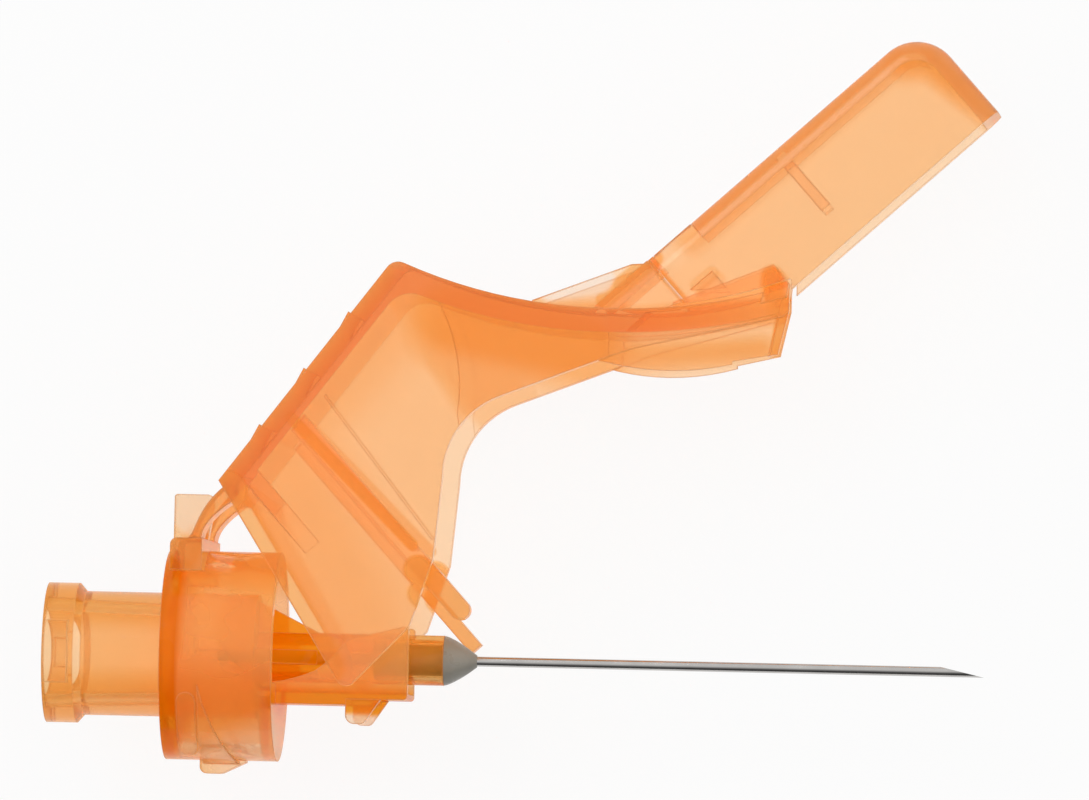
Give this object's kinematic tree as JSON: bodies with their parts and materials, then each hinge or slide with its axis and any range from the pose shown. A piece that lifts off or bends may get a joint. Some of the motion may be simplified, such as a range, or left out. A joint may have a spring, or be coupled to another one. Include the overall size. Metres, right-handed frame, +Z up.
{
  "type": "safety hypodermic needle",
  "caption": "Hypodermic needle on a female luer hub, with a collar and a two-segment hinged safety shield that folds over the needle.",
  "frame": {"origin": "centre of the luer socket's mouth, on the needle's axis", "axes": "+X along the needle towards its tip, +Y the side that the shield opens to, +Z up from the side that the part lies on"},
  "size_m": [0.047, 0.0372, 0.0122],
  "materials": {
    "hub_plastic": "translucent orange moulding, glossy",
    "needle_steel": "drawn stainless tube, polished, ground bevel",
    "adhesive": "cured grey adhesive, slightly uneven",
    "collar_plastic": "translucent orange moulding, glossy",
    "shield_plastic": "translucent orange moulding, satin inside, glossy outside"
  },
  "bodies": {
    "hub": {"luer_hub": "hub_plastic", "cannula": "needle_steel", "adhesive_bead": "adhesive", "hub_collar": "collar_plastic", "strap_near": "shield_plastic", "strap_far": "shield_plastic"},
    "proximal": {"proximal_segment": "shield_plastic", "segment_hinge": "shield_plastic"},
    "distal": {"distal_segment": "shield_plastic"}
  },
  "joints": [
    {"name": "shield_hinge", "type": "hinge", "parent": "hub", "child": "proximal", "pos_m": [0.00805, 0.00695, 0], "axis": [0, 0, 1], "range_deg": [-42, 35], "deforming": ["strap_near", "strap_far"]},
    {"name": "distal_hinge", "type": "hinge", "parent": "proximal", "child": "distal", "pos_m": [0.03095, 0.02105, 0], "axis": [0, 0, 1], "range_deg": [0, 35], "deforming": ["segment_hinge"]}
  ]
}
